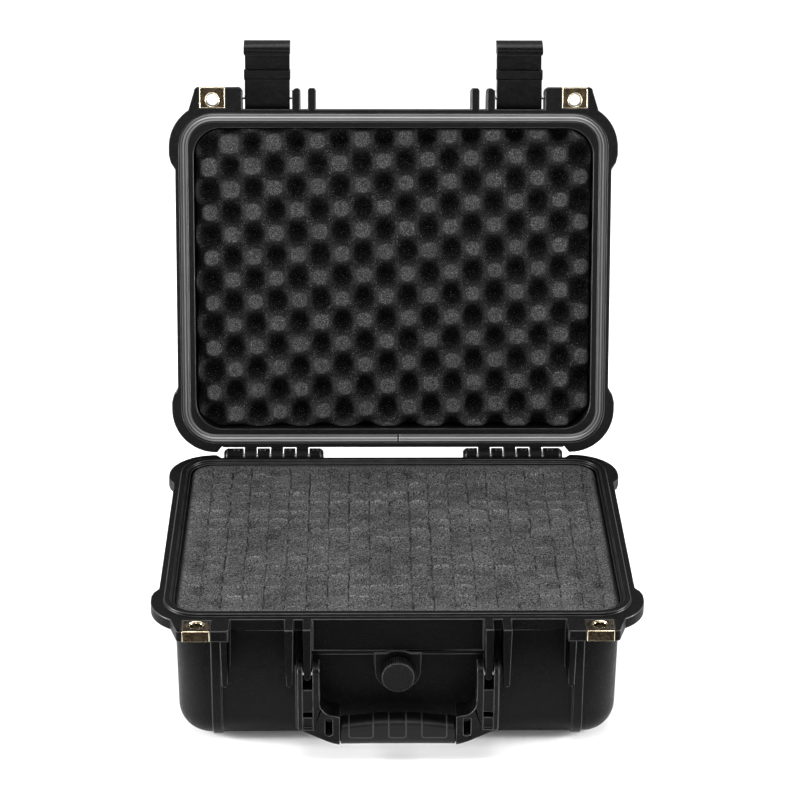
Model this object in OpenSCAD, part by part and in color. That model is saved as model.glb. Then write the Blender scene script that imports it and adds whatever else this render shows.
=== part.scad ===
// Small hard equipment case: two moulded shells on a rear hinge, egg-crate foam in the lid,
// pick-and-pluck foam in the base, two latches, a swinging handle and a purge valve.
// Millimetres. Origin at the centre of the base's underside, +Z up, the front faces -Y.
// Every part is drawn in the rest pose: lid open on its stop, latches out, handle hanging.

/* [Shells] */
// Width across the rim flange, left to right
flange_w = 345; // [343:1:347]
// Depth across the rim flange, front to back
flange_d = 270; // [268:1:272]
// Corner radius of the flange, in plan
flange_r = 30; // [29:0.5:31]
// Height of the parting plane above the floor
base_h = 109; // [106:1:112]
// Height of the lid above the parting plane
lid_h = 46; // [44:1:50]
// Shell wall thickness
wall = 3; // [2.5:0.25:3.5]
// Thickness of the rim flange
rim_t = 9; // [8.5:0.25:9]
// How far the shell wall stands in from the flange edge
inset = 11.5; // [11:0.25:12]
// Wall lean, millimetres inward per millimetre of height
draft = 0.016; // [0.012:0.002:0.02]
// Radius along the bottom edges of the base
base_fillet = 23; // [20:1:23]
// Radius along the top edges of the lid
lid_fillet = 20; // [16:1:22]

/* [Lid and hinge] */
// Angle the lid is drawn open
lid_open = 104; // [100:1:106]
// Hinge axis behind the flange edge
hinge_back = 7.6; // [7.5:0.1:8]
// Hinge axis below the parting plane
hinge_drop = 2.75; // [2.5:0.25:3]
// Outer radius of a hinge knuckle
knuckle_r = 6.6; // [6:0.1:6.6]
// Radius of the hinge pins
hinge_pin_r = 2; // [1.5:0.1:2.5]

/* [Latches] */
// Width of a latch
latch_w = 36.6; // [34:0.2:37]
// Latch centre from the middle of the case
latch_x = 100.1; // [99.8:0.1:100.4]
// Latch pivot in front of the flange edge
latch_out = 8; // [7.8:0.1:8.2]
// Latch pivot above the parting plane
latch_up = 24; // [23.6:0.2:24.4]
// Latch pin radius
latch_pin_r = 1.6; // [1.4:0.1:1.8]

/* [Handle] */
// Handle pivot in front of the flange edge
handle_out = 9; // [8.8:0.1:9.2]
// Handle pivot below the parting plane
handle_drop = 38.5; // [38:0.25:39]
// Depth of the handle arms, front to back
arm_d = 20; // [19:0.5:20]
// Half length of the rubber grip
grip_half = 41.2; // [39:0.2:41.4]
// Handle pin radius
handle_pin_r = 1.6; // [1.4:0.1:1.8]

/* [Padlock tabs] */
// Centre of a padlock hole from the middle of the case
lock_x = 142.8; // [142.4:0.1:143.2]
// Radius of a padlock hole
lock_r = 4.5; // [3.8:0.1:4.8]
// Thickness of the tabs
tab_t = 8.3; // [8:0.1:8.5]

/* [Foam] */
// Gap of the base foam's top below the parting plane
foam_low = 2; // [2:0.25:4]
// Gap of the lid foam's peaks above the parting plane
peak_gap = 2.5; // [1:0.25:4]
// Height of the solid pad under the pick-and-pluck block
pad_h = 16; // [15:0.5:16]

/* [Hidden] */
$fn = 64;
hw = flange_w / 2;
hd = flange_d / 2;
body_r = 25;
in_r = body_r - wall;
tab_out = 17.3;
fin_out = 16.4;
groove_a = 3.2;
groove_b = 9.7;
groove_h = 6.5;
tongue_h = 2.2;
hinge_y = hd + hinge_back;
hinge_z = base_h - hinge_drop;
latch_y = -hd - latch_out;
latch_z = base_h + latch_up;
hook_r = latch_up + rim_t + 2;
handle_y = -hd - handle_out;
handle_z = base_h - handle_drop;
arm_r = arm_d / 2;
grip_low = handle_z - 55.5;
valve_z = base_h - 41.3;
valve_face = -hd - 0.5;
run = 0.05;

// ---- shared shapes ----

// Rounded rectangle in plan
module rrect(w, d, r) {
    square([w - 2 * r, d], center = true);
    square([w, d - 2 * r], center = true);
    for (sx = [-1, 1]) for (sy = [-1, 1])
        translate([sx * (w / 2 - r), sy * (d / 2 - r)]) circle(r);
}

// The flange outline drawn in by o all round
module rim2d(o) { rrect(flange_w - 2 * o, flange_d - 2 * o, flange_r - o); }

// One wall in section: top at 0, leaning in, rounded at the foot
module wall_profile(reach, h, f) {
    d = draft * (h - f);
    polygon([[0, 0], [reach, 0], [reach - d, f - h], [0, f - h]]);
    translate([0, -h]) square([reach - d - f, f + 0.5]);
    intersection() {
        translate([reach - d - f, f - h]) circle(f);
        translate([reach - d - f, -h]) square([f, f]);
    }
}

module both_walls(reach, h, f) {
    wall_profile(reach, h, f);
    mirror([1, 0]) wall_profile(reach, h, f);
}

// A tub with rounded corners and a rounded foot, top at 0, going down
module tub(w2, d2, r, h, f) {
    rotate([90, 0, 0]) linear_extrude(2 * (d2 - r), center = true) both_walls(w2, h, f);
    rotate([90, 0, 90]) linear_extrude(2 * (w2 - r), center = true) both_walls(d2, h, f);
    for (k = [0 : 3]) {
        sx = (k == 0 || k == 3) ? 1 : -1;
        sy = k < 2 ? 1 : -1;
        translate([sx * (w2 - r), sy * (d2 - r), 0]) rotate([0, 0, 90 * k])
            rotate_extrude(angle = 90) wall_profile(r, h, f);
    }
}

// One corner ear, at the corner's centre, reaching toward +x and +y
module ear2d() {
    intersection() {
        circle(flange_r + 5);
        square(flange_r + 5);
    }
    polygon([[0, flange_r - 4], [0, flange_r + 5], [-0.9, flange_r + 5], [-5, flange_r - 0.1],
             [-5, flange_r - 4]]);
    polygon([[flange_r - 4, 0], [flange_r + 5, 0], [flange_r + 5, -6], [flange_r + 3.5, -12],
             [flange_r - 0.1, -18], [flange_r - 4, -18]]);
}

// One padlock tab, at the front edge; s is +1 on the right
module tab2d(s) {
    polygon([[s * 119.5, 5], [s * 119.5, 3 - tab_out], [s * 122.5, -tab_out],
             [s * 154, -tab_out], [s * 157, 3 - tab_out], [s * 161.5, 0],
             [s * 161.5, 5]]);
    for (x = [122.5, 154]) translate([s * x, 3 - tab_out]) circle(3);
}

// Flange, ears and tabs in plan; both shells share it
module rim_outline() {
    rim2d(0);
    for (sx = [-1, 1]) {
        for (sy = [0, 1])
            mirror([sx < 0 ? 1 : 0, 0]) mirror([0, sy])
                translate([hw - flange_r, hd - flange_r]) ear2d();
        translate([0, -hd]) tab2d(sx);
    }
}

// A fin seen from the front: w wide at the top, n at the foot, h tall, rounded foot
module fin2d(w, n, h) {
    polygon([[-w / 2, 0], [w / 2, 0], [n / 2, n / 2 - h], [-n / 2, n / 2 - h]]);
    translate([0, n / 2 - h]) circle(n / 2);
}

// A round bar along x
module xbar(x0, x1, y, z, r) {
    translate([x0, y, z]) rotate([0, 90, 0]) cylinder(h = x1 - x0, r = r);
}

// Puts something drawn on the closed lid where the open lid is
module lid_pose() {
    translate([0, hinge_y, hinge_z]) rotate([-lid_open, 0, 0])
        translate([0, -hinge_y, -hinge_z]) children();
}

// ---- base shell ----

// Knuckle spans of a hinge, as distances from the middle of the case
base_knuckles = [[55.9, 67.4], [78.6, 87.8], [99.1, 108.9], [120.2, 135.9]];
lid_knuckles = [[68.2, 77.8], [88.6, 98.3], [109.7, 119.4]];

// A base knuckle; e is 1 or -1 where that end is free and tapers off, else 0
module base_knuckle(x0, x1, e) {
    xbar(x0 + (e < 0 ? 2.6 : 0), x1 - (e > 0 ? 2.6 : 0), hinge_y, hinge_z, knuckle_r);
    if (e != 0)
        translate([e > 0 ? x1 - 2.6 : x0 + 2.6, hinge_y, hinge_z]) rotate([0, e * 90, 0])
            cylinder(h = 2.6, r1 = knuckle_r, r2 = knuckle_r - 2.2);
    translate([x0, hd - 4, hinge_z - knuckle_r]) cube([x1 - x0, hinge_back + 4, knuckle_r]);
}

// Front fins of the base: x, width at the top, width at the foot, height, reach
base_fins = [[123.1, 6.2, 4.4, 46, fin_out], [77.2, 6.4, 4.6, 46, fin_out],
             [64.4, 6.2, 5.0, 41, 15.6]];

module base_shell() {
    color([0.10, 0.10, 0.105])
    difference() {
        union() {
            translate([0, 0, base_h]) tub(hw - inset, hd - inset, body_r, base_h, base_fillet);
            translate([0, 0, base_h - rim_t]) linear_extrude(rim_t) rim2d(0);
            translate([0, 0, base_h - tab_t]) linear_extrude(tab_t) rim_outline();
            // tongue that presses on the lid's seal
            translate([0, 0, base_h - 1]) linear_extrude(tongue_h + 1) difference() {
                rim2d(4.6);
                rim2d(9.4);
            }
            for (s = [-1, 1]) {
                for (f = base_fins)
                    translate([s * f[0], -hd + inset + 2, base_h]) rotate([90, 0, 0])
                        linear_extrude(f[4] + inset + 2) fin2d(f[1], f[2], f[3]);
                // long low rib beside the tab
                translate([s * 130.5, 0, base_h]) rotate([90, 0, -90])
                    linear_extrude(7, center = true)
                        intersection() {
                            wall_profile(hd - inset + 4.5, base_h - 1, base_fillet);
                            translate([80, -base_h]) square([60, base_h - rim_t + 1]);
                        }
                for (k = base_knuckles) {
                    e = k[0] < 60 ? -1 : (k[1] > 130 ? 1 : 0);
                    if (s > 0) base_knuckle(k[0], k[1], e);
                    else base_knuckle(-k[1], -k[0], -e);
                }
            }
            // raised middle panel behind the handle
            translate([0, 0, base_h]) rotate([90, 0, -90]) linear_extrude(147, center = true)
                intersection() {
                    wall_profile(hd - inset + 1.2, base_h - 1, base_fillet);
                    translate([80, -base_h]) square([60, base_h - rim_t + 1]);
                }
            // name-panel block and the valve boss under it
            translate([-62, -hd + 0.3, base_h - 28.6]) cube([124, inset + 1, 22]);
            translate([0, -hd + inset + 2, valve_z]) rotate([90, 0, 0])
                linear_extrude(inset + 2.5) {
                    circle(16.5);
                    translate([-16.5, 0]) square([33, 14]);
                }
        }
        // cavity, with a wider mouth behind the tongue
        translate([0, 0, base_h + 0.01])
            tub(hw - inset - wall, hd - inset - wall, in_r, base_h - wall, base_fillet - wall);
        translate([0, 0, base_h - 6]) linear_extrude(20) rim2d(12);
        // shallow field of the name panel
        translate([-60.8, -hd - 1, base_h - 25]) cube([121.6, 2.4, 24]);
        // hinge pin holes, closed at the inner end
        for (s = [-1, 1]) {
            xbar(s > 0 ? 58 : -137, s > 0 ? 137 : -58, hinge_y, hinge_z, hinge_pin_r);
            xbar(s > 0 ? 60 : -70, s > 0 ? 70 : -60, handle_y, handle_z, handle_pin_r);
        }
        // valve bore
        translate([0, valve_face - 1, valve_z]) rotate([-90, 0, 0]) cylinder(h = 20, r = 8);
        // pockets for the tab plates
        for (s = [-1, 1]) plate_pocket(s);
        // cored notches along the tops of the knuckles
        for (s = [-1, 1]) for (x = [62.5, 84.4, 104.8, 125.8])
            translate([s * x - 1.9, hinge_y - 2.4, hinge_z + knuckle_r - 1.7]) cube([3.8, 3, 3]);
    }
}

// ---- padlock tab plates: brass-coloured wraps with an eyelet ----

module plate_pocket(s) {
    translate([s * lock_x, -hd, base_h]) {
        translate([-9.9, -tab_out - 1, -1.2]) cube([19.8, tab_out, 5]);
        translate([-9.9, -tab_out - 1, -tab_t - 1]) cube([19.8, tab_out, 2.2]);
        translate([-9.9, -tab_out - 1, -tab_t - 1]) cube([19.8, 2.2, tab_t + 2]);
        translate([0, -7.5, -tab_t - 1]) cylinder(h = tab_t + 2, r = lock_r + 1);
    }
}

// A plate on the base tab; the lid's is its mirror image
module tab_plate(s) {
    translate([s * lock_x, -hd, base_h]) difference() {
        union() {
            translate([-9.8, -tab_out, -1.2]) cube([19.6, tab_out - 1.1, 1.1]);
            translate([-9.8, -tab_out, -tab_t]) cube([19.6, tab_out - 1.1, 1.1]);
            translate([-9.8, -tab_out, -tab_t]) cube([19.6, 1.1, tab_t - 0.1]);
            translate([0, -7.5, -tab_t]) cylinder(h = tab_t - 0.1, r = lock_r + 0.95);
        }
        translate([0, -7.5, -tab_t - 1]) cylinder(h = tab_t + 3, r = lock_r);
        translate([0, -7.5, -0.95]) cylinder(h = 0.9, r1 = lock_r, r2 = lock_r + 0.9);
    }
}

module flip_to_lid() {
    lid_pose() translate([0, 0, 2 * base_h]) mirror([0, 0, 1]) children();
}

module base_plate_left() { color([0.80, 0.62, 0.30]) tab_plate(-1); }
module base_plate_right() { color([0.80, 0.62, 0.30]) tab_plate(1); }
module lid_plate_left() { color([0.80, 0.62, 0.30]) flip_to_lid() tab_plate(-1); }
module lid_plate_right() { color([0.80, 0.62, 0.30]) flip_to_lid() tab_plate(1); }

// ---- lid shell, drawn closed and swung open ----

// A lid fin at x: side view, y outward and z up, with rounded corners in plan that lean in
// with the fin; c gives the rounding centres, left and right of the middle
module lid_fin(x, c) {
    intersection() {
        translate([x, -hd, base_h]) rotate([90, 0, -90]) linear_extrude(6.2, center = true)
            polygon([[-inset - 2, 0], [tab_out - 0.4, 0], [tab_out - 1.9, 27],
                     [tab_out - 4.5, 34], [tab_out - 10, 38], [-inset - 2, 40]]);
        translate([x, -hd - tab_out + 3.1, base_h]) rotate([-3.2, 0, 0])
            translate([0, 0, -2]) linear_extrude(50) {
                for (k = c) translate([k[0], 0]) circle(k[1]);
                translate([-3.1, 0]) square([6.2, tab_out + inset + 4]);
            }
    }
}

module lid_knuckle(x0, x1) {
    xbar(x0, x1, hinge_y, hinge_z, knuckle_r);
    translate([x0, hd - 4, base_h + 0.4])
        cube([x1 - x0, hinge_back + 4, knuckle_r - hinge_drop - 0.4]);
    translate([x0, hinge_y - 2, hinge_z]) cube([x1 - x0, 2, knuckle_r]);
}

module lid_shell() {
    color([0.10, 0.10, 0.105]) lid_pose()
    difference() {
        union() {
            translate([0, 0, base_h]) mirror([0, 0, 1])
                tub(hw - inset, hd - inset, body_r, lid_h, lid_fillet);
            translate([0, 0, base_h]) linear_extrude(rim_t) rim2d(0);
            translate([0, 0, base_h]) linear_extrude(tab_t) rim_outline();
            // narrow ledge along the hinge side
            translate([-137, hd - 1, base_h + 0.4]) cube([274, 1.9, 7]);
            // low raised field on the outside of the lid
            translate([0, 0, base_h + lid_h - 1]) linear_extrude(2.2) rrect(210, 140, 14);
            for (s = [-1, 1]) {
                lid_fin(s * 64.6, [[0, 3.1]]);
                lid_fin(s * 77, [[-s * 0.5, 2.6], [s * 2.1, 1]]);
                lid_fin(s * 123.1, [[-0.5, 2.6], [0.5, 2.6]]);
                for (k = lid_knuckles)
                    if (s > 0) lid_knuckle(k[0], k[1]);
                    else lid_knuckle(-k[1], -k[0]);
            }
        }
        translate([0, 0, base_h - 0.01]) mirror([0, 0, 1])
            tub(hw - inset - wall, hd - inset - wall, in_r, lid_h - wall, lid_fillet - wall);
        // seal groove
        translate([0, 0, base_h - 1]) linear_extrude(groove_h + 1) difference() {
            rim2d(groove_a);
            rim2d(groove_b);
        }
        for (s = [-1, 1]) {
            xbar(s > 0 ? 66 : -121, s > 0 ? 121 : -66, hinge_y, hinge_z, hinge_pin_r + run);
            xbar(s > 0 ? 77 : -123, s > 0 ? 123 : -77, latch_y, latch_z, latch_pin_r);
            translate([0, 0, 2 * base_h]) mirror([0, 0, 1]) plate_pocket(s);
        }
    }
}

module lid_gasket() {
    color([0.32, 0.32, 0.33]) lid_pose()
        translate([0, 0, base_h + tongue_h + 0.3])
            linear_extrude(groove_h - tongue_h - 0.4) difference() {
                rim2d(groove_a + 0.1);
                rim2d(groove_b - 0.1);
            }
}

module lid_foam() {
    color([0.15, 0.15, 0.155]) lid_pose()
        translate([0, 0, base_h + peak_gap]) mirror([0, 0, 1])
            tub(hw - inset - wall - 1.1, hd - inset - wall - 1.1, in_r - 1,
                lid_h - wall - peak_gap - 1, lid_fillet - wall - 1);
}

// ---- base foam ----

module pluck_foam() {
    low = wall + pad_h + 0.5;
    color([0.22, 0.22, 0.225]) {
        translate([0, 0, low]) linear_extrude(base_h - foam_low - low)
            rrect(2 * (hw - inset - wall - 2), 2 * (hd - inset - wall - 2), in_r - 1);
        // brim that bulges into the mouth of the shell
        translate([0, 0, base_h - 5.5]) linear_extrude(5.5 - foam_low) rim2d(12.8);
    }
}

module base_pad() {
    color([0.20, 0.20, 0.205]) translate([0, 0, wall + pad_h + 0.3])
        tub(hw - inset - wall - 5.5, hd - inset - wall - 5.5, in_r - 5.2, pad_h, pad_h - 0.5);
}

// ---- pins ----

module pin_x(s, x0, x1, y, z, r) {
    color([0.55, 0.55, 0.56])
        if (s > 0) xbar(x0, x1, y, z, r);
        else xbar(-x1, -x0, y, z, r);
}

module hinge_pin_left() { pin_x(-1, 58, 135.5, hinge_y, hinge_z, hinge_pin_r); }
module hinge_pin_right() { pin_x(1, 58, 135.5, hinge_y, hinge_z, hinge_pin_r); }
module handle_pin_left() { pin_x(-1, 57.4, 70.6, handle_y, handle_z, handle_pin_r); }
module handle_pin_right() { pin_x(1, 57.4, 70.6, handle_y, handle_z, handle_pin_r); }
module latch_pin_left() { lid_pose() pin_x(-1, 77, 123, latch_y, latch_z, latch_pin_r); }
module latch_pin_right() { lid_pose() pin_x(1, 77, 123, latch_y, latch_z, latch_pin_r); }

// ---- latches ----

// Latch, hanging closed from a pivot along z at 0,0; +x is outward, away from the case
module latch_blank() {
    difference() {
        // plate, a rib that lies against the lid's rim, the hook and the finger lip
        linear_extrude(latch_w, center = true)
            polygon([[4, 10.5], [7, 8.5], [8, 4], [8, -37], [10.5, -42], [10.2, -44.6], [4, -45],
                     [-2, -43.2], [-6.5, -41.2], [-9, -39], [-10, -36.8], [-10, -30], [2, -30],
                     [2, -22.4], [-5.4, -22.1], [-6.5, -21.2], [-6.5, -15.4], [-5, -14.2],
                     [-5, 9], [-4, 10.5]]);
        // the plate is a little narrower than its rib and its hook
        for (k = [-1, 1]) for (y = [[-14.2, 12], [-34.4, -22.1]])
            translate([-12, y[0], k > 0 ? latch_w / 2 - 0.5 : -latch_w / 2 - 1])
                cube([24, y[1] - y[0], 1.5]);
        cylinder(h = latch_w + 2, r = latch_pin_r + run, center = true);
        // room for the base's rim, round about the pivot so that the hook swings under it
        intersection() {
            cylinder(h = latch_w + 2, r = hook_r, center = true);
            translate([-12, -40, -latch_w]) cube([14, 16, 2 * latch_w]);
        }
    }
}

module latch(s) {
    color([0.11, 0.11, 0.115]) lid_pose()
        translate([s * latch_x, latch_y, latch_z]) rotate([-90, 0, 0]) rotate([90, 0, -90])
            latch_blank();
}

module latch_left() { latch(-1); }
module latch_right() { latch(1); }

// ---- handle ----

// Right half of the handle frame, seen from the front
module frame2d() {
    x1 = 71.6;
    difference() {
        polygon([[grip_half + 0.3, grip_low + 0.6], [x1, grip_low + 15], [x1, handle_z + 15],
                 [55.9, handle_z + 15], [55.9, grip_low + 38], [44.9, grip_low + 26],
                 [grip_half + 0.3, grip_low + 25]]);
        translate([44.9, grip_low + 37]) circle(11);
        // fork opening over the base's fin
        translate([60.9, handle_z - 9.5]) square([7, 40]);
        // window in the corner
        translate([46.9, grip_low + 11.6]) square([5, 12]);
        translate([48.4, grip_low + 9.8]) square([2, 14]);
        for (x = [48.6, 50.2]) translate([x, grip_low + 11.6]) circle(1.7);
    }
}

// Side view of the handle, y across and z up
module handle_side2d() {
    translate([handle_y, handle_z]) circle(arm_r);
    translate([handle_y - arm_r, grip_low + 6]) square([arm_d, handle_z - grip_low - 6]);
    translate([handle_y - arm_r + 6, grip_low]) square([arm_d - 12, 8]);
    for (k = [-1, 1]) translate([handle_y + k * (arm_r - 6), grip_low + 6]) circle(6);
}

module handle_frame() {
    color([0.12, 0.12, 0.125])
    difference() {
        union() {
            intersection() {
                translate([0, handle_y + arm_r + 1, 0]) rotate([90, 0, 0])
                    linear_extrude(arm_d + 2) {
                        frame2d();
                        mirror([1, 0]) frame2d();
                    }
                rotate([90, 0, 90]) linear_extrude(150, center = true) handle_side2d();
            }
            // core bar inside the grip
            translate([-grip_half - 1, handle_y - 6, grip_low + 4]) cube([2 * grip_half + 2, 12, 11]);
        }
        // shallow pockets between the arms, front and back, and a slot right through
        for (s = [-1, 1]) {
            for (k = [-1, 1])
                translate([s * 64.4 - 3.5, handle_y + k * arm_r - 2.6, grip_low + 15])
                    cube([7, 5.2, handle_z - 9 - grip_low - 15]);
            translate([s * 64.4 - 3.5, handle_y - arm_r - 1, grip_low + 23.4])
                cube([7, arm_d + 2, 4.1]);
        }
        for (s = [-1, 1])
            xbar(s > 0 ? 57.4 : -70.6, s > 0 ? 70.6 : -57.4, handle_y, handle_z,
                 handle_pin_r + run);
    }
}

module handle_grip() {
    color([0.13, 0.13, 0.13])
    difference() {
        intersection() {
            rotate([90, 0, 90]) linear_extrude(2 * grip_half, center = true)
                translate([handle_y, grip_low + 11]) rrect(20, 22, 7);
            // arched top
            translate([0, handle_y, grip_low + 21.5 - 244]) rotate([90, 0, 0])
                cylinder(h = 30, r = 244, center = true, $fn = 360);
        }
        translate([-60, handle_y - 6.1, grip_low + 3.9]) cube([120, 12.2, 11.2]);
    }
}

// ---- purge valve ----

module valve_knob() {
    color([0.12, 0.12, 0.125]) translate([0, valve_face - 0.4, valve_z]) rotate([90, 0, 0]) {
        difference() {
            union() {
                cylinder(h = 8.6, r = 12.2);
                translate([0, 0, 8.6]) cylinder(h = 1.4, r1 = 12.2, r2 = 10.8);
                translate([0, 0, -13]) cylinder(h = 13.5, r = 5);
            }
            for (a = [0 : 15 : 345]) rotate([0, 0, a])
                translate([12.55, 0, 1]) cylinder(h = 12, r = 0.7);
        }
    }
}

module valve_seat() {
    color([0.45, 0.38, 0.22]) translate([0, valve_face, valve_z]) rotate([-90, 0, 0])
        difference() {
            cylinder(h = 14.5, r = 7.95);
            translate([0, 0, -1]) cylinder(h = 20, r = 5 + run);
            translate([0, 0, -1]) cylinder(h = 2.2, r = 7.2);
        }
}

module valve_oring() {
    color([0.06, 0.06, 0.06]) translate([0, valve_face + 0.58, valve_z]) rotate([-90, 0, 0])
        rotate_extrude() translate([6.1, 0]) circle(0.55);
}

base_shell();
lid_shell();
lid_gasket();
lid_foam();
pluck_foam();
base_pad();
hinge_pin_left();
hinge_pin_right();
latch_left();
latch_right();
latch_pin_left();
latch_pin_right();
handle_frame();
handle_grip();
handle_pin_left();
handle_pin_right();
base_plate_left();
base_plate_right();
lid_plate_left();
lid_plate_right();
valve_knob();
valve_seat();
valve_oring();
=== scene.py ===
import math
import bmesh
import bpy
import numpy as np
from mathutils import Matrix, Vector


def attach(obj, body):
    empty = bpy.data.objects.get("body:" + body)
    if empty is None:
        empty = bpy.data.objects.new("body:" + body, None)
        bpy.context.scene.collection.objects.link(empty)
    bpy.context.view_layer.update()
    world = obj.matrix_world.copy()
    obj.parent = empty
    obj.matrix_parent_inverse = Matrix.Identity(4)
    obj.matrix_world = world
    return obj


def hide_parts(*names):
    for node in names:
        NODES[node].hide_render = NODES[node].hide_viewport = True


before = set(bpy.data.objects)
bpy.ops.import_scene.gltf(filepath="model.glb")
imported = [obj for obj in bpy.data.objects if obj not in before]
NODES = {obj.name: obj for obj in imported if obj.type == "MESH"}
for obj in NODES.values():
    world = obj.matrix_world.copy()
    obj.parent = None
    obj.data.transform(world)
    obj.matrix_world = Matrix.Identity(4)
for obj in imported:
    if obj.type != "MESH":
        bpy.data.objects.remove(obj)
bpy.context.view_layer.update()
MM = 0.001

# sizes shared with the CAD source, in millimetres: half the rim flange and its corner radius,
# the height of the parting plane, the hinge line, the handle's grip and the valve's seat face
HW, HD, FLANGE_R = 172.5, 135.0, 30.0
BASE_H = 109.0
HINGE_Y, HINGE_Z = 142.6, 106.25
HANDLE_Y, GRIP_LOW = -144.0, 15.0
VALVE_Z, VALVE_FACE = 67.7, -135.5

# the lid is drawn open by this many degrees
LID_OPEN = 104.0

# the closed lid's frame swung open about the hinge, in metres
OPEN = (Matrix.Translation((0, HINGE_Y * MM, HINGE_Z * MM))
        @ Matrix.Rotation(math.radians(-LID_OPEN), 4, "X")
        @ Matrix.Translation((0, -HINGE_Y * MM, -HINGE_Z * MM)))


# ------------------------------------------------------------------ camera, floor and light

def camera():
    """The photograph's view, as solved from the rims' corners."""
    pitch, yaw, roll = math.radians(23.992), math.radians(-0.993), math.radians(0.345)
    place = Vector((-0.02865, -1.80631, 1.02326))
    fwd = Vector((-math.sin(yaw) * math.cos(pitch), math.cos(yaw) * math.cos(pitch), -math.sin(pitch)))
    right0 = Vector((math.cos(yaw), math.sin(yaw), 0))
    up0 = right0.cross(fwd)
    right = math.cos(roll) * right0 + math.sin(roll) * up0
    up = math.cos(roll) * up0 - math.sin(roll) * right0
    cam = bpy.data.objects.new("photo_camera", bpy.data.cameras.new("photo_camera"))
    cam.matrix_world = Matrix((
        (right.x, up.x, -fwd.x, place.x),
        (right.y, up.y, -fwd.y, place.y),
        (right.z, up.z, -fwd.z, place.z),
        (0, 0, 0, 1)))
    cam.data.lens = 120.505
    cam.data.sensor_width = 36
    cam.data.clip_end = 30
    bpy.context.scene.collection.objects.link(cam)
    bpy.context.scene.camera = cam


def area_light(name, place, target, size, size_y, watts):
    lamp = bpy.data.lights.new(name, "AREA")
    lamp.shape = "RECTANGLE"
    lamp.size, lamp.size_y, lamp.energy = size, size_y, watts
    ob = bpy.data.objects.new(name, lamp)
    look = Vector(target) - Vector(place)
    ob.matrix_world = Matrix.Translation(place) @ look.to_track_quat("-Z", "Y").to_matrix().to_4x4()
    bpy.context.scene.collection.objects.link(ob)


def stage_and_light():
    """A pale floor under soft lamps: two over the case and behind it, two sides, two in front."""
    bpy.ops.mesh.primitive_plane_add(size=16, location=(0, 2, 0))
    floor = bpy.context.object
    floor.name = "studio_floor"
    m, nt, bsdf = new_material("floor_paper")
    bsdf.inputs["Base Color"].default_value = (0.86, 0.86, 0.86, 1)
    bsdf.inputs["Roughness"].default_value = 0.9
    bsdf.inputs["Specular IOR Level"].default_value = 0.1
    floor.data.materials.append(m)
    world = bpy.data.worlds.new("studio_world")
    bpy.context.scene.world = world
    world.use_nodes = True
    sky = world.node_tree.nodes["Background"]
    sky.inputs["Color"].default_value = (1.0, 1.0, 1.0, 1)
    sky.inputs["Strength"].default_value = 0.42
    area_light("softbox_top", (0.0, 0.9, 1.9), (0, 0.1, 0.1), 1.2, 0.6, 20)
    area_light("softbox_back", (0.0, 1.9, 2.3), (0, 1.6, 0), 2.0, 0.8, 30)
    area_light("softbox_left", (-1.4, -0.25, 0.4), (0, 0, 0.1), 0.4, 0.7, 56)
    area_light("softbox_right", (1.4, -0.25, 0.4), (0, 0, 0.1), 0.4, 0.7, 46)
    area_light("softbox_front", (0.0, -2.8, 0.85), (0, 0.1, 0.25), 1.6, 0.7, 16)
    area_light("strip_high", (0.0, -0.72, 1.7), (0, -0.05, 0.1), 1.0, 0.36, 13)
    bpy.context.scene.view_settings.view_transform = "Standard"
    bpy.context.scene.view_settings.look = "None"


# ------------------------------------------------------------------ materials

def new_material(name):
    m = bpy.data.materials.new(name)
    m.use_nodes = True
    nt = m.node_tree
    return m, nt, nt.nodes["Principled BSDF"]


def object_coords(nt):
    return nt.nodes.new("ShaderNodeTexCoord").outputs["Object"]


def noise(nt, vec, scale, detail=3.0, rough=0.55):
    n = nt.nodes.new("ShaderNodeTexNoise")
    n.inputs["Scale"].default_value = scale
    n.inputs["Detail"].default_value = detail
    n.inputs["Roughness"].default_value = rough
    nt.links.new(vec, n.inputs["Vector"])
    return n.outputs["Fac"]


def ramp(nt, fac, stops):
    r = nt.nodes.new("ShaderNodeValToRGB")
    el = r.color_ramp.elements
    el[0].position, el[1].position = stops[0][0], stops[-1][0]
    el[0].color, el[1].color = (*stops[0][1], 1), (*stops[-1][1], 1)
    for pos, colour in stops[1:-1]:
        el.new(pos).color = (*colour, 1)
    nt.links.new(fac, r.inputs[0])
    return r.outputs[0]


def grey(v):
    return (v, v, v)


def remap(nt, fac, a, b, lo, hi):
    r = nt.nodes.new("ShaderNodeMapRange")
    r.inputs["From Min"].default_value = a
    r.inputs["From Max"].default_value = b
    r.inputs["To Min"].default_value = lo
    r.inputs["To Max"].default_value = hi
    nt.links.new(fac, r.inputs["Value"])
    return r.outputs["Result"]


def mix(nt, fac, a, b, mode="MIX"):
    n = nt.nodes.new("ShaderNodeMix")
    n.data_type = "RGBA"
    n.blend_type = mode
    for sock, v in ((n.inputs[0], fac), (n.inputs[6], a), (n.inputs[7], b)):
        if isinstance(v, (float, int)):
            sock.default_value = v
        elif isinstance(v, tuple):
            sock.default_value = (*v, 1) if len(v) == 3 else v
        else:
            nt.links.new(v, sock)
    return n.outputs[2]


def bump(nt, bsdf, layers):
    """layers: (height socket, strength, distance in metres), the last one outermost."""
    last = None
    for height, strength, distance in layers:
        b = nt.nodes.new("ShaderNodeBump")
        b.inputs["Strength"].default_value = strength
        b.inputs["Distance"].default_value = distance
        nt.links.new(height, b.inputs["Height"])
        if last is not None:
            nt.links.new(last, b.inputs["Normal"])
        last = b.outputs["Normal"]
    nt.links.new(last, bsdf.inputs["Normal"])


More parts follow.
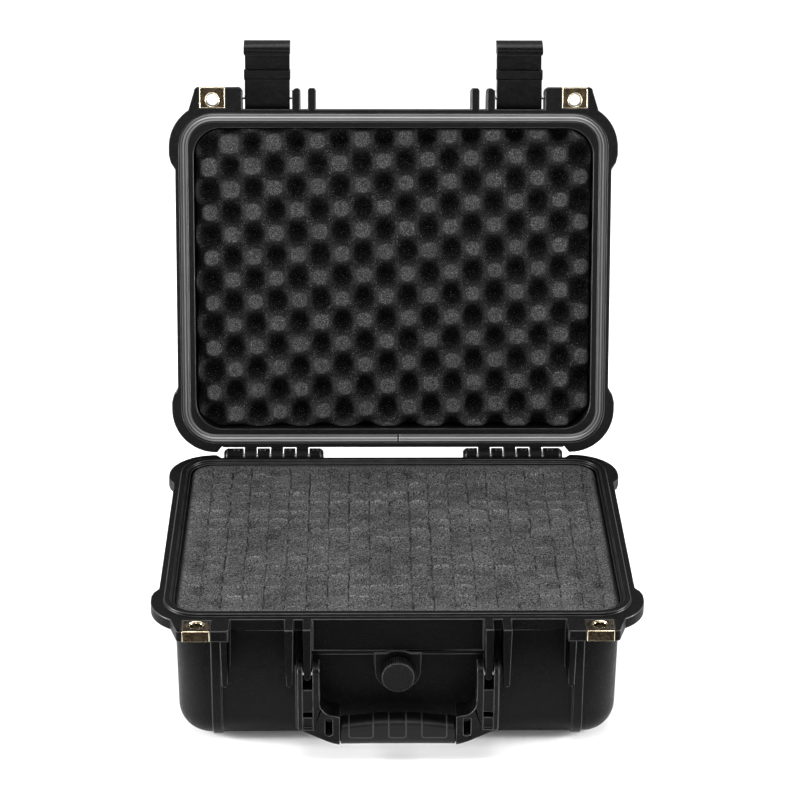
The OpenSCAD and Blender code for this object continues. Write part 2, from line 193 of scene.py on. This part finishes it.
def moulded_plastic(name, dark, light, rough_lo, rough_hi, grain, spec, rim_spec=None):
    """Textured black polypropylene: fine spark-eroded grain, faint rubbed patches.

    With rim_spec the shine fades from spec low on the base's wall to rim_spec near its rim, a painted
    reflection fall-off that stands in for the light falling off up the wall.
    """
    fade_from, fade_to = 0.015, 0.085
    m, nt, bsdf = new_material(name)
    vec = object_coords(nt)
    fine = noise(nt, vec, 950, 2.0, 0.6)
    mid = noise(nt, vec, 220, 3.0, 0.55)
    broad = noise(nt, vec, 14, 4.0, 0.6)
    base = ramp(nt, broad, [(0.3, grey(dark)), (0.75, grey(light))])
    speck = ramp(nt, fine, [(0.56, grey(0.0)), (0.74, grey(0.010))])
    tone = mix(nt, 1.0, base, speck, "ADD")
    nt.links.new(tone, bsdf.inputs["Base Color"])
    nt.links.new(remap(nt, mid, 0.3, 0.7, rough_lo, rough_hi), bsdf.inputs["Roughness"])
    if rim_spec is None:
        bsdf.inputs["Specular IOR Level"].default_value = spec
    else:
        # painted reflection: the shine fades with height in place of the light falling off
        axes = nt.nodes.new("ShaderNodeSeparateXYZ")
        nt.links.new(vec, axes.inputs[0])
        nt.links.new(remap(nt, axes.outputs["Z"], fade_from, fade_to, spec, rim_spec),
                     bsdf.inputs["Specular IOR Level"])
    bump(nt, bsdf, [(fine, grain, 0.0004), (mid, 0.12, 0.0002)])
    return m


def rubber(name, dark, light, spec=0.3, rough=(0.5, 0.72), line=None):
    """Matt rubber. With line, a painted highlight of that tone is laid where a mesh attribute marks the
    ridges.
    """
    m, nt, bsdf = new_material(name)
    vec = object_coords(nt)
    fine = noise(nt, vec, 1100, 3.0, 0.6)
    broad = noise(nt, vec, 30, 4.0, 0.6)
    tone = ramp(nt, broad, [(0.3, grey(dark)), (0.7, grey(light))])
    if line is not None:
        att = nt.nodes.new("ShaderNodeAttribute")
        att.attribute_name = "painted_ridge_highlight"
        tone = mix(nt, att.outputs["Fac"], tone, grey(line))
    nt.links.new(tone, bsdf.inputs["Base Color"])
    nt.links.new(remap(nt, fine, 0.3, 0.7, *rough), bsdf.inputs["Roughness"])
    bsdf.inputs["Specular IOR Level"].default_value = spec
    bump(nt, bsdf, [(fine, 0.25, 0.0001)])
    return m


def foam(name, low, high, fleck, painted_shade_and_highlight_tones):
    """Open-cell polyurethane: fine cells, scattered bright flecks, painted shade where it lies deep.

    The tones are ramp stops over the mesh's "depth" attribute and multiply the tone: painted shade in the
    hollows and on the sides, painted highlight where a stop is above 1.
    """
    m, nt, bsdf = new_material(name)
    vec = object_coords(nt)
    cells = noise(nt, vec, 900, 2.0, 0.8)
    broad = noise(nt, vec, 45, 3.0, 0.6)
    sparks = noise(nt, vec, 1300, 1.0, 0.5)
    tone = ramp(nt, cells, [(0.40, grey(low)), (0.60, grey(high))])
    tone = mix(nt, remap(nt, broad, 0.3, 0.7, 0.0, 0.3), tone, grey(low))
    spark = ramp(nt, sparks, [(0.63, grey(0.0)), (0.74, grey(fleck))])
    # painted shade and highlight: the tone is multiplied by a ramp over the depth attribute
    att = nt.nodes.new("ShaderNodeAttribute")
    att.attribute_name = "depth"
    tone = mix(nt, 1.0, tone, ramp(nt, att.outputs["Fac"], painted_shade_and_highlight_tones), "MULTIPLY")
    tone = mix(nt, 1.0, tone, spark, "ADD")
    nt.links.new(tone, bsdf.inputs["Base Color"])
    nt.links.new(remap(nt, cells, 0.3, 0.7, 0.85, 1.0), bsdf.inputs["Roughness"])
    bsdf.inputs["Specular IOR Level"].default_value = 0.1
    bump(nt, bsdf, [(cells, 0.8, 0.0005)])
    return m


def metal(name, colour_a, colour_b, rough_lo, rough_hi, grain):
    """Plain metal, faintly mottled between two colours."""
    m, nt, bsdf = new_material(name)
    vec = object_coords(nt)
    fine = noise(nt, vec, 900, 3.0, 0.65)
    broad = noise(nt, vec, 90, 3.0, 0.6)
    nt.links.new(ramp(nt, broad, [(0.35, colour_a), (0.65, colour_b)]), bsdf.inputs["Base Color"])
    nt.links.new(remap(nt, fine, 0.3, 0.7, rough_lo, rough_hi), bsdf.inputs["Roughness"])
    bsdf.inputs["Metallic"].default_value = 1.0
    bump(nt, bsdf, [(fine, grain, 0.0002)])
    return m


def worn_plate(name):
    """Brass-plated steel: mottled brown faces, and a painted dark reflection on the faces turned to the
    front.
    """
    m, nt, bsdf = new_material(name)
    vec = object_coords(nt)
    fine = noise(nt, vec, 700, 3.0, 0.65)
    broad = noise(nt, vec, 160, 3.0, 0.6)
    face = ramp(nt, fine, [(0.38, (0.02, 0.015, 0.010)), (0.52, (0.05, 0.039, 0.026)),
                           (0.66, (0.22, 0.18, 0.12))])
    split = nt.nodes.new("ShaderNodeSeparateXYZ")
    nt.links.new(nt.nodes.new("ShaderNodeTexCoord").outputs["Normal"], split.inputs[0])
    # painted reflection: faces that look to the front get a dark colour in place of what they would reflect
    front = remap(nt, split.outputs["Y"], -0.9, -0.96, 0.0, 1.0)
    painted_front_reflection = ramp(nt, fine, [(0.4, (0.010, 0.007, 0.004)), (0.62, (0.034, 0.026, 0.016))])
    nt.links.new(mix(nt, front, face, painted_front_reflection), bsdf.inputs["Base Color"])
    nt.links.new(remap(nt, broad, 0.3, 0.7, 0.16, 0.34), bsdf.inputs["Roughness"])
    bsdf.inputs["Metallic"].default_value = 1.0
    bump(nt, bsdf, [(fine, 0.35, 0.0002)])
    return m


def painted_edge_highlight(name, dark, light, rough, metallic=0.0):
    """The same part along its rounded edges, painted lighter there as a highlight, with a little lower
    roughness.
    """
    m, nt, bsdf = new_material(name)
    vec = object_coords(nt)
    highlight_noise = noise(nt, vec, 120, 4.0, 0.65)
    # painted highlight: a lighter colour on the rounded edges stands in for the light they catch
    nt.links.new(ramp(nt, highlight_noise, [(0.36, dark), (0.62, light)]), bsdf.inputs["Base Color"])
    nt.links.new(remap(nt, highlight_noise, 0.3, 0.7, rough + 0.1, rough), bsdf.inputs["Roughness"])
    bsdf.inputs["Metallic"].default_value = metallic
    bsdf.inputs["Specular IOR Level"].default_value = 0.3
    bump(nt, bsdf, [(noise(nt, vec, 900, 2.0, 0.6), 0.15, 0.0001)])
    return m


# ------------------------------------------------------------------ mesh helpers

def object_from(name, verts, faces, sharp):
    """A smooth-shaded mesh, sharp where faces meet at more than that many degrees."""
    me = bpy.data.meshes.new(name)
    me.from_pydata([tuple(v) for v in verts], [], faces)
    me.validate()
    me.polygons.foreach_set("use_smooth", [True] * len(me.polygons))
    me.set_sharp_from_angle(angle=math.radians(sharp))
    me.update()
    ob = bpy.data.objects.new(name, me)
    bpy.context.scene.collection.objects.link(ob)
    return ob


def set_point_values(ob, name, values):
    """One number for each vertex, which a material reads by name."""
    att = ob.data.attributes.new(name, "FLOAT", "POINT")
    att.data.foreach_set("value", np.asarray(values, dtype=np.float32))


def grid_faces(nu, nv, wrap_u, wrap_v, flip=False):
    """Quads over nu rows of nv vertices, closed into a ring where a wrap is set."""
    faces = []
    for i in range(nu if wrap_u else nu - 1):
        for j in range(nv if wrap_v else nv - 1):
            a, b = i * nv + j, ((i + 1) % nu) * nv + j
            c, d = ((i + 1) % nu) * nv + (j + 1) % nv, i * nv + (j + 1) % nv
            faces.append((a, d, c, b) if flip else (a, b, c, d))
    return faces


def finish_piece(ob, body, nodes, material):
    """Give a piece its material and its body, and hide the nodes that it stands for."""
    ob.data.materials.append(material)
    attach(ob, body)
    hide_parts(*nodes)
    return ob


def half_width(y, hx, hy, r):
    """Half the width of a rounded rectangle at y."""
    over = np.clip(np.abs(y) - (hy - r), 0, r)
    return hx - r + np.sqrt(np.maximum(r * r - over * over, 0))


def slab(name, xs, ys, hx, hy, r, height, sides, edge_drop, place=None, flip=False):
    """A closed slab in a rounded rectangle: height(x, y, dist) on one face, flat on the other.

    xs are fractions -1..1 of the half width, ys are millimetres, and dist is how far in a point
    lies from the outline. The edge falls by 0.8 of edge_drop. sides lists (inset, height) down the
    outside, the last one being the flat face. Returns the object, the grid of its upper face and
    how many vertices the sides have.
    """
    xs, ys = np.asarray(xs), np.asarray(ys)
    hwid = half_width(ys, hx, hy, r)
    X = xs[None, :] * hwid[:, None]
    Y = np.repeat(ys[:, None], len(xs), axis=1)
    # distance in from the outline, for the rounded rim
    dx = hx - np.abs(X)
    dy = hy - np.abs(Y)
    cx, cy = np.abs(X) - (hx - r), np.abs(Y) - (hy - r)
    corner = (cx > 0) & (cy > 0)
    dist = np.where(corner, r - np.hypot(np.maximum(cx, 0), np.maximum(cy, 0)), np.minimum(dx, dy))
    dist = np.maximum(dist, 0)
    Z = height(X, Y, dist) - edge_drop * np.maximum(0, 1 - dist / edge_drop) ** 2 * 0.8
    nu, nv = Z.shape
    top = np.stack([X, Y, Z], axis=-1).reshape(-1, 3)
    faces = grid_faces(nu, nv, False, False, flip=True)
    # the outline, once round, then the sides and the flat face
    ring = list(range(nv)) + [i * nv + nv - 1 for i in range(1, nu)]
    ring += [(nu - 1) * nv + j for j in range(nv - 2, -1, -1)] + [i * nv for i in range(nu - 2, 0, -1)]
    rim, n = top[ring], len(ring)
    outward = np.sign(rim[:, :2]) * np.maximum(np.abs(rim[:, :2]) - (hx - r, hy - r), 0) / r
    loops = [rim]
    for inset, z in sides:
        loop = rim.copy()
        loop[:, :2] -= outward * inset
        loop[:, 2] = z
        loops.append(loop)
    verts = np.concatenate([top] + loops[1:])
    rows = [ring] + [[len(top) + m * n + k for k in range(n)] for m in range(len(sides))]
    for a, b in zip(rows, rows[1:]):
        for k in range(n):
            j = (k + 1) % n
            faces.append((a[k], b[k], b[j], a[j]))
    faces.append(tuple(reversed(rows[-1])))
    if flip:
        faces = [tuple(reversed(f)) for f in faces]
    verts = verts * MM
    if place is not None:
        R = np.array(place)
        verts = verts @ R[:3, :3].T + R[:3, 3]
    ob = object_from(name, verts, faces, 50)
    return ob, (X, Y, Z), n * len(sides)


def value_noise(seed, size=64):
    """A smooth seeded 2-D noise, f(x, y) from -0.5 to 0.5, with one random value a unit."""
    table = np.random.default_rng(seed).random((size, size))

    def f(x, y):
        i, j = np.floor(x).astype(int), np.floor(y).astype(int)
        u, v = x - i, y - j
        u, v = u * u * (3 - 2 * u), v * v * (3 - 2 * v)
        i0, i1, j0, j1 = i % size, (i + 1) % size, j % size, (j + 1) % size
        a, b, c, d = table[i0, j0], table[i1, j0], table[i0, j1], table[i1, j1]
        return (a * (1 - u) + b * u) * (1 - v) + (c * (1 - u) + d * u) * v - 0.5
    return f


def fractions(points, half):
    """Places along a side as sorted fractions -1..1 of its half width."""
    return sorted({round(p / half, 6) for p in points if abs(p) <= half})


def rounded_rows(hy, r, straight, arc):
    """Rows from -hy to hy, closer together round the corners of radius r."""
    turn = np.linspace(0, np.pi / 2, arc)
    return np.concatenate([-hy + r - r * np.cos(turn), np.linspace(-(hy - r), hy - r, straight)[1:-1],
                           hy - r + r * np.sin(turn)])


# ------------------------------------------------------------------ foam

def egg_crate(x, s):
    """-1 in a pit to 1 on a peak; x across the case, s from the hinge side of the rim."""
    peak_x, peak_s = -129.1, 242.5
    # the lattice's two vectors
    ax, ay, bx, by = 34.63, 1.33, 0.62, -36.07
    dx, ds = x - peak_x, s - peak_s
    det = ax * by - ay * bx
    u = (dx * by - ds * bx) / det
    v = (ax * ds - ay * dx) / det
    return np.cos(2 * np.pi * u) * np.cos(2 * np.pi * v)


def lid_foam(material):
    """Convoluted foam with its peaks cut flat, glued in the lid."""
    hx, hy, r = 156.7, 119.2, 20.8
    wob = value_noise(11)
    cut, amp, edge = 0.5, 17.0, 34

    def level(X, Y):
        """0 on a cut peak, falling to -1 in a pit, with a narrow shoulder between."""
        f = egg_crate(X + 0.9 * wob(X / 23, Y / 23), HD - Y + 0.9 * wob(X / 23 + 20, Y / 23 + 9))
        f = f + 0.12 * wob(X / 31 + 5, Y / 31 + 40)
        # the cut ran a little deeper in one corner of the sheet
        f = f + 0.3 * np.exp(-(np.hypot(X + 138, Y + 108) / 34) ** 2)
        return -np.log1p(np.exp(-(f - cut) * edge)) / edge / (1 + cut)

    def height(X, Y, dist):
        low = level(X, Y)
        return low * amp + 0.3 * wob(X / 2.3, Y / 2.3) * (low < -0.02) + 0.5 * wob(X / 17, Y / 17)

    xs = np.linspace(-1, 1, 291)
    ys = rounded_rows(hy, r, 184, 26)
    sides = [(0.6, -22.0), (0.7, -25.0), (1.65, -28.8), (2.6, -30.7), (3.75, -32.4), (5.1, -34.0),
             (6.7, -35.4), (8.4, -36.6), (10.3, -37.5), (12.2, -38.1)]
    # peaks point down from peak_z in the shut lid
    peak_z = 112.3
    flipz = OPEN @ Matrix.Translation((0, 0, peak_z * MM)) @ Matrix.Scale(-1, 4, (0, 0, 1))
    ob, (X, Y, _), n = slab("lid_foam_egg_crate", xs, ys, hx, hy, r, height, sides, 2.4, flipz, True)
    # painted shade: the tone darkens with how deep the pits lie, and the sides take the darkest tone
    depth = np.clip(-level(X, Y).reshape(-1), 0, 1)
    set_point_values(ob, "depth", np.concatenate([depth, np.full(n, 1.0)]))
    finish_piece(ob, "lid", ["lid_foam"], material)


def hinge_rise(Y):
    """The base's foam swells toward the hinge side: 0 at the middle to 1 at its edge."""
    back = np.clip((Y - 88) / 34, 0, 1)
    return back * back * (3 - 2 * back)


def base_foam(material):
    """Pick-and-pluck block: slit into 15 mm cells, dented by the lid's foam."""
    hx, hy, r = 159.3, 122.4, 17.0
    x0, y0, pitch = -4.5, -19.3, 15.34
    level, top_limit = 106.8, 108.8
    wob, cellr = value_noise(5), np.random.default_rng(8).random((40, 40, 4)) - 0.5

    def height(X, Y, dist):
        Xw = X + 0.8 * wob(X / 40 + 3, Y / 11 + 7)
        cu = (Xw - x0) / pitch
        i = np.floor(cu).astype(int)
        u = cu - i - 0.5
        # each cell's back edge bows toward the hinge, by a little more or less
        bow = 3.4 * (1 - (2 * u) ** 2) * (0.7 + 1.2 * wob(X / 30, Y / 9 + 2))
        bow = bow + 1.2 * wob(X / 13 + 31, Y / 40 + 3)
        cv = (Y - bow - y0) / pitch
        j = np.floor(cv).astype(int)
        v = cv - j - 0.5
        rnd = cellr[i % 40, j % 40]
        inner = np.clip((dist - 3) / 8, 0, 1)
        # every cell rises to a lip along its back edge, and drops sharply behind it
        lip = np.clip(1.0 + 0.6 * rnd[..., 0] + 1.3 * wob(X / 24 + 9, Y / 24), 0.2, 1.7)
        back_d, front_d = (0.5 - v) * pitch, (0.5 + v) * pitch
        h = lip * np.exp(-np.maximum(back_d - 0.4, 0) / 1.7) - 1.1 * lip * np.exp(-(front_d / 1.4) ** 2)
        h = h * (1 - 0.55 * (2 * np.abs(u)) ** 4) + 0.45 * rnd[..., 1] + 0.5 * rnd[..., 2] * u
        # the slits stand open only here and there, and near some of the cells' corners
        side_d = (0.5 - np.abs(u)) * pitch
        corner = np.exp(-(np.minimum(back_d, front_d) / 3.6) ** 2) * (rnd[..., 3] > -0.1)
        open_u = np.clip(-0.1 + 1.8 * wob(X / 9 + 50, Y / 5 + 13), 0, 0.8) + corner
        open_v = np.clip(0.25 + 1.2 * wob(X / 7 + 11, Y / 9 + 33), 0, 1)
        h = h - (1.7 * open_u * np.exp(-(side_d / 0.42) ** 2) + 1.3 * open_v * np.exp(-(front_d / 0.5) ** 2))
        # dents left by the flat peaks of the lid's foam, deeper in some places
        dent = 1 / (1 + np.exp(-(egg_crate(X, HD - Y + 2) - 0.5) * 14))
        depth = 0.75 * np.clip(0.75 + 1.6 * wob(X / 26, Y / 26 + 60), 0, 1.6)
        h = (h - 0.7 - depth * dent) * inner
        h += 0.22 * wob(X / 2.1 + 7, Y / 2.1) + 0.9 * wob(X / 38, Y / 38 + 20)
        # the rim of the shut lid lies just above the edge, and the foam stays under it
        swell = level + np.minimum(h, 1.0) + 3.0 * hinge_rise(Y)
        return np.minimum(swell, top_limit + 1.5 * np.clip((dist - 5.0) / 3.0, 0, 1))

    # columns crowd toward each slit and toward the outline
    offsets = [0.0, 0.3, 0.7, 1.5, 3.2, 5.4, 7.67, 9.9, 12.2, 13.9, 14.6, 15.0]
    columns = [x0 + pitch * k + o for k in range(-12, 12) for o in offsets]
    columns += [side * (hx - inset) for side in (-1, 1) for inset in (0.0, 1.0, 2.2, 4.0)]
    sides = [(0.2, 104.0), (3.5, 103.2), (3.9, 102.4), (3.9, 20.2), (4.3, 19.7)]
    ob, (_, Y, Z), n = slab("base_foam_pluck_cells", fractions(columns, hx), rounded_rows(hy, r, 290, 22),
                            hx, hy, r, height, sides, 2.6)
    # painted shade and highlight: lips lie high and are made lighter, slits, dents and sides lie low and are
    # made darker; the swell toward the hinge is taken out, leaving a little painted shade there
    depth = np.clip((107.3 - Z + 3.6 * hinge_rise(Y)).reshape(-1) / 4, 0, 1)
    set_point_values(ob, "depth", np.concatenate([depth, np.full(n, 1.0)]))
    finish_piece(ob, "base", ["pluck_foam"], material)


def bottom_pad(material):
    """The plain sheet of foam under the cells, squeezed soft at its edges."""
    hx, hy, r = 152.2, 114.7, 16.5
    wob = value_noise(21)

    def height(X, Y, dist):
        return 18.9 + 0.3 * wob(X / 12, Y / 12) - 1.6 * np.exp(-dist / 5)

    sides = [(0.3, 14.8), (1.4, 12.9), (2.2, 11.0), (3.3, 9.4), (4.7, 7.8), (7.2, 5.9), (9.8, 4.5),
             (12.6, 3.7)]
    ob, _, _ = slab("base_pad_sheet", np.linspace(-1, 1, 60), rounded_rows(hy, r, 40, 10), hx, hy, r,
                    height, sides, 3.0)
    # the whole sheet takes one even step of the foam's painted shade
    set_point_values(ob, "depth", np.full(len(ob.data.vertices), 0.3))
    finish_piece(ob, "base", ["base_pad"], material)


# ------------------------------------------------------------------ seal in the lid

def outline(o, n):
    """The rim's outline drawn in by o: corner arcs joined by straights, n points a corner."""
    r = FLANGE_R - o
    pts = []
    for k, (sx, sy) in enumerate(((1, 1), (-1, 1), (-1, -1), (1, -1))):
        for i in range(n):
            a = math.pi / 2 * (k + i / (n - 1))
            pts.append((sx * (HW - FLANGE_R) + r * math.cos(a), sy * (HD - FLANGE_R) + r * math.sin(a)))
    return pts


def gasket(material):
    """Extruded rubber seal: two shoulders and a crown, butt-joined near the middle of the hinge side."""
    corner, joint_x = 14, 3.9
    # offset from the rim's edge, height above the parting plane, how much painted highlight it gets where it
    # would catch the light
    profile = [(3.35, 6.2, 0), (3.35, 3.3, 0), (3.6, 2.85, 0.1), (4.1, 2.7, 0.5), (4.7, 2.85, 0.1),
               (5.0, 3.25, 0), (5.25, 3.3, 0), (5.6, 2.85, 0.3), (6.1, 2.6, 1), (6.7, 2.6, 1),
               (7.1, 2.85, 0.3), (7.4, 3.3, 0), (7.7, 3.3, 0), (8.1, 2.95, 0.2), (8.8, 2.8, 0.6),
               (9.3, 2.95, 0.2), (9.55, 3.4, 0), (9.55, 6.2, 0)]
    back = profile[0][1]
    rng = np.random.default_rng(3)
    # extra stations on the hinge side for the joint
    joint = [26, 10, 6.4, 5.2, 4.6, 4.2, joint_x, 3.6, 3.2, 2.6, 1.4, -2, -18]
    rings = []
    for o, _, _ in profile:
        path = outline(o, corner)
        rings.append(path[:corner] + [(x, HD - o) for x in joint] + path[corner:])
    stations = len(rings[0])
    verts = []
    for k in range(stations):
        pinch = 0.0
        if corner <= k < corner + len(joint):
            pinch = max(0.0, 1 - abs(rings[0][k][0] - joint_x) / 1.1)
        for m, (_, t, _) in enumerate(profile):
            x, y = rings[m][k]
            sink = pinch * (1.3 + rng.random() * 0.8) if 0 < m < len(profile) - 1 else 0
            verts.append((x, y, BASE_H + t + min(sink, back - 0.1 - t)))
    faces = grid_faces(stations, len(profile), True, True)
    ob = object_from("lid_seal_ring", [OPEN @ (Vector(p) * MM) for p in verts], faces, 40)
    # painted highlight: the crowns of the seal are made lighter
    set_point_values(ob, "painted_ridge_highlight", [crown for _, _, crown in profile] * stations)
    fix_normals(ob)
    finish_piece(ob, "lid", ["lid_gasket"], material)


def fix_normals(ob):
    """Turn every face outward."""
    bm = bmesh.new()
    bm.from_mesh(ob.data)
    bmesh.ops.recalc_face_normals(bm, faces=bm.faces)
    bm.to_mesh(ob.data)
    bm.free()


# ------------------------------------------------------------------ handle grip and valve knob

def grip(material):
    """Moulded rubber sleeve: arched top, three finger panels outlined on the front and the back."""
    half, half_depth, crest, arch_r = 41.2, 10.0, 21.5, 244.0
    # a squarish section, how far a panel is sunk and how far its outline stands up
    squareness, panel_sink, line_rise = 2.6, 0.55, 0.35
    # centre and half width of each panel, the height of its lower edge and its corners' radius
    panels, panel_foot, corner_r = [(-26.4, 8.7), (-0.4, 6.2), (26.0, 8.9)], 8.0, 2.0
    # half the bore round the core bar, front to back and up, and its centre over the underside
    bore_y, bore_z, bore_mid = 6.15, 5.6, 9.5
    nx, na = 200, 180
    ang = np.linspace(0, 2 * np.pi, na, endpoint=False)
    X, A = np.meshgrid(np.linspace(-half, half, nx), ang, indexing="ij")
    hh = (crest - arch_r + np.sqrt(arch_r ** 2 - X * X)) / 2
    c, sn = np.cos(A), np.sin(A)
    q = (np.abs(c) ** squareness + np.abs(sn) ** squareness) ** (-1 / squareness)
    Y, Z = half_depth * q * c, hh * q * sn
    over_foot = Z + hh
    sunk, line = np.zeros_like(X), np.zeros_like(X)
    for px, pw in panels:
        # distance outside the panel's outline, with rounded lower corners
        ex, ez = np.abs(X - px) - pw, panel_foot - over_foot
        rounded = np.hypot(ex + corner_r, ez + corner_r) - corner_r
        d = np.where((ex > -corner_r) & (ez > -corner_r), rounded, np.maximum(ex, ez))
        sunk += panel_sink / (1 + np.exp(d * 7))
        line += line_rise * np.exp(-(d / 0.35) ** 2)
    # the last millimetre at each end rounds off
    end = np.clip(np.abs(X) - (half - 1.0), 0, 1) ** 2
    k = np.minimum(1 - 0.06 * end - (sunk - line) / 12.0, 1.0)
    verts = np.stack([X, HANDLE_Y + Y * k, GRIP_LOW + hh + Z * k], axis=-1).reshape(-1, 3)
    faces = grid_faces(nx, na, False, True)
    m = len(verts)
    # the bore, so that the sleeve is a closed ring
    inner = []
    for x in (-half, half):
        for a in ang:
            co, si = math.cos(a), math.sin(a)
            f = 1 / max(abs(co) / bore_y, abs(si) / bore_z)
            inner.append((x, HANDLE_Y + f * co, GRIP_LOW + bore_mid + f * si))
    verts = np.concatenate([verts, np.array(inner)])
    e = (nx - 1) * na
    for a in range(na):
        j = (a + 1) % na
        faces.append((a, j, m + j, m + a))
        faces.append((e + a, m + na + a, m + na + j, e + j))
        faces.append((m + a, m + j, m + na + j, m + na + a))
    ob = object_from("handle_grip_sleeve", verts * MM, faces, 48)
    # painted highlight: the panels' raised outlines are made lighter
    painted_ridge_highlight = np.clip(line / line_rise, 0, 1) * (over_foot > 3.5)
    set_point_values(ob, "painted_ridge_highlight", np.concatenate([painted_ridge_highlight.reshape(-1), np.zeros(2 * na)]))
    fix_normals(ob)
    finish_piece(ob, "handle", ["handle_grip"], material)


def knob(material, rim):
    """Purge valve knob: a serrated rim round a shallow dished face, on a plain stem."""
    teeth, per = 56, 6
    na = teeth * per
    back_y = VALVE_FACE - 0.4
    # radius, forward distance from the knob's back, serration depth
    prof = [(0.0, 9.7, 0), (4.0, 9.7, 0), (8.6, 9.7, 0), (9.4, 9.72, 0), (10.3, 9.98, 0), (11.0, 9.98, 0.05),
            (11.6, 9.7, 0.2), (11.98, 9.2, 0.5), (12.14, 8.5, 0.75), (12.18, 7.0, 0.8), (12.18, 4.0, 0.8),
            (12.18, 1.2, 0.8), (12.0, 0.4, 0.4), (11.4, 0.0, 0), (5.2, 0.0, 0), (4.95, -0.3, 0),
            (4.95, -12.6, 0), (4.5, -13.0, 0), (0.0, -13.0, 0)]
    rim_row, tooth_rows = 5, range(6, 12)
    verts, rows = [], []
    for r, d, cut in prof:
        if r == 0:
            verts.append((0, back_y - d, VALVE_Z))
            rows.append([len(verts) - 1] * na)
            continue
        row = []
        for k in range(na):
            a = 2 * math.pi * k / na
            groove = 0.5 - 0.5 * math.cos(2 * math.pi * (k % per) / per)
            rr = r - cut * groove ** 2
            verts.append((rr * math.cos(a), back_y - d, VALVE_Z + rr * math.sin(a)))
            row.append(len(verts) - 1)
        rows.append(row)
    faces = []
    for a, b in zip(rows, rows[1:]):
        for k in range(na):
            j = (k + 1) % na
            # a corner that the centre point repeats is left out
            faces.append(tuple(dict.fromkeys((a[k], a[j], b[j], b[k]))))
    ob = object_from("valve_knob_serrated", [Vector(v) * MM for v in verts], faces, 42)
    fix_normals(ob)
    finish_piece(ob, "knob", ["valve_knob"], material)
    ob.data.materials.append(rim)
    # the raised rim round the face and the tips of the teeth take the painted edge highlight
    index = []
    for k in range(len(faces)):
        row, at_tip = k // na, k % per in (0, per - 1)
        index.append(1 if row == rim_row or (row in tooth_rows and at_tip) else 0)
    ob.data.polygons.foreach_set("material_index", index)


# ------------------------------------------------------------------ the CAD nodes that stay

def soften(names, width, segments=3, clamp=False):
    """Moulded edges: a small rounding on every hard edge, shaded by the flat faces round it."""
    for name in names:
        ob = NODES[name]
        weld = ob.modifiers.new("weld", "WELD")
        weld.merge_threshold = 2e-5
        edge = ob.modifiers.new("edge", "BEVEL")
        edge.width = width
        edge.segments = segments
        edge.limit_method = "ANGLE"
        edge.angle_limit = math.radians(35)
        edge.use_clamp_overlap = clamp
        edge.miter_outer = "MITER_SHARP"
        # the rounded faces take the node's second material, the painted edge highlight
        edge.material = 1
        shade = ob.modifiers.new("shade", "WEIGHTED_NORMAL")
        shade.keep_sharp = False
        shade.mode = "FACE_AREA"
        shade.weight = 60


def paint(names, *materials):
    """The first material goes on the faces, the second, a painted highlight, on the rounded edges."""
    for name in names:
        mats = NODES[name].data.materials
        mats.clear()
        for material in materials:
            mats.append(material)


camera()
stage_and_light()

shell = moulded_plastic("shell_black_textured", 0.0012, 0.0025, 0.34, 0.48, 0.7, 0.075)
base_plastic = moulded_plastic("base_black_textured", 0.0012, 0.0025, 0.34, 0.48, 0.7, 0.11, 0.03)
latch_plastic = moulded_plastic("latch_black_smooth", 0.0012, 0.0025, 0.24, 0.36, 0.12, 0.05)
handle_plastic = moulded_plastic("handle_black", 0.0012, 0.0025, 0.26, 0.38, 0.2, 0.085)
# the last tone of the seal and of the grip is a painted highlight along their ridges
seal = rubber("seal_grey_rubber", 0.055, 0.085, 0.25, (0.4, 0.6), 0.22)
grip_rubber = rubber("grip_black_rubber", 0.0012, 0.0025, 0.17, (0.36, 0.46), 0.035)
o_rubber = rubber("oring_black_rubber", 0.01, 0.014)
# ramps over depth: painted shade in the hollows, and for the base's cells painted highlight above 1 on the
# lips
lid_foam_mat = foam("lid_foam_dark", 0.005, 0.043, 0.10,
                    [(0.0, grey(1.0)), (0.012, grey(0.9)), (0.035, grey(0.4)), (0.1, grey(0.22)),
                     (0.4, grey(0.16)), (1.0, grey(0.09))])
base_foam_mat = foam("base_foam_grey", 0.002, 0.086, 0.13,
                     [(0.0, grey(1.7)), (0.1, grey(1.3)), (0.25, grey(0.95)), (0.45, grey(0.68)),
                      (1.0, grey(0.1))])
brass = worn_plate("plate_brass_worn")
steel = metal("pin_steel_bright", (0.42, 0.42, 0.43), (0.60, 0.60, 0.61), 0.25, 0.4, 0.1)
dark_brass = metal("seat_brass_dull", (0.30, 0.22, 0.10), (0.42, 0.32, 0.15), 0.35, 0.5, 0.2)

# painted highlight: lighter colour on the rounded edges of the shells, handle and plates
shell_edge_highlight = painted_edge_highlight("shell_black_edge_highlight", grey(0.003), grey(0.015), 0.28)
handle_edge_highlight = painted_edge_highlight("handle_black_edge_highlight", grey(0.008), grey(0.035), 0.24)
brass_edge_highlight = painted_edge_highlight("plate_brass_edge_highlight", (0.45, 0.37, 0.24), (0.9, 0.8, 0.6), 0.12, 1.0)

paint(["base_shell"], base_plastic, shell_edge_highlight)
paint(["lid_shell"], shell, shell_edge_highlight)
paint(["latch_left", "latch_right"], latch_plastic, shell_edge_highlight)
paint(["handle_frame"], handle_plastic, handle_edge_highlight)
paint(["valve_oring"], o_rubber)
paint(["valve_seat"], dark_brass)
paint(["hinge_pin_left", "hinge_pin_right", "latch_pin_left", "latch_pin_right",
       "handle_pin_left", "handle_pin_right"], steel)
plates = ["base_plate_left", "base_plate_right", "lid_plate_left", "lid_plate_right"]
paint(plates, brass, brass_edge_highlight)
soften(["base_shell", "lid_shell", "handle_frame"], 0.0006)
soften(["latch_left", "latch_right"], 0.0004, 2, True)
soften(plates, 0.0004, 3)

lid_foam(lid_foam_mat)
base_foam(base_foam_mat)
bottom_pad(base_foam_mat)
gasket(seal)
grip(grip_rubber)
knob(handle_plastic, handle_edge_highlight)
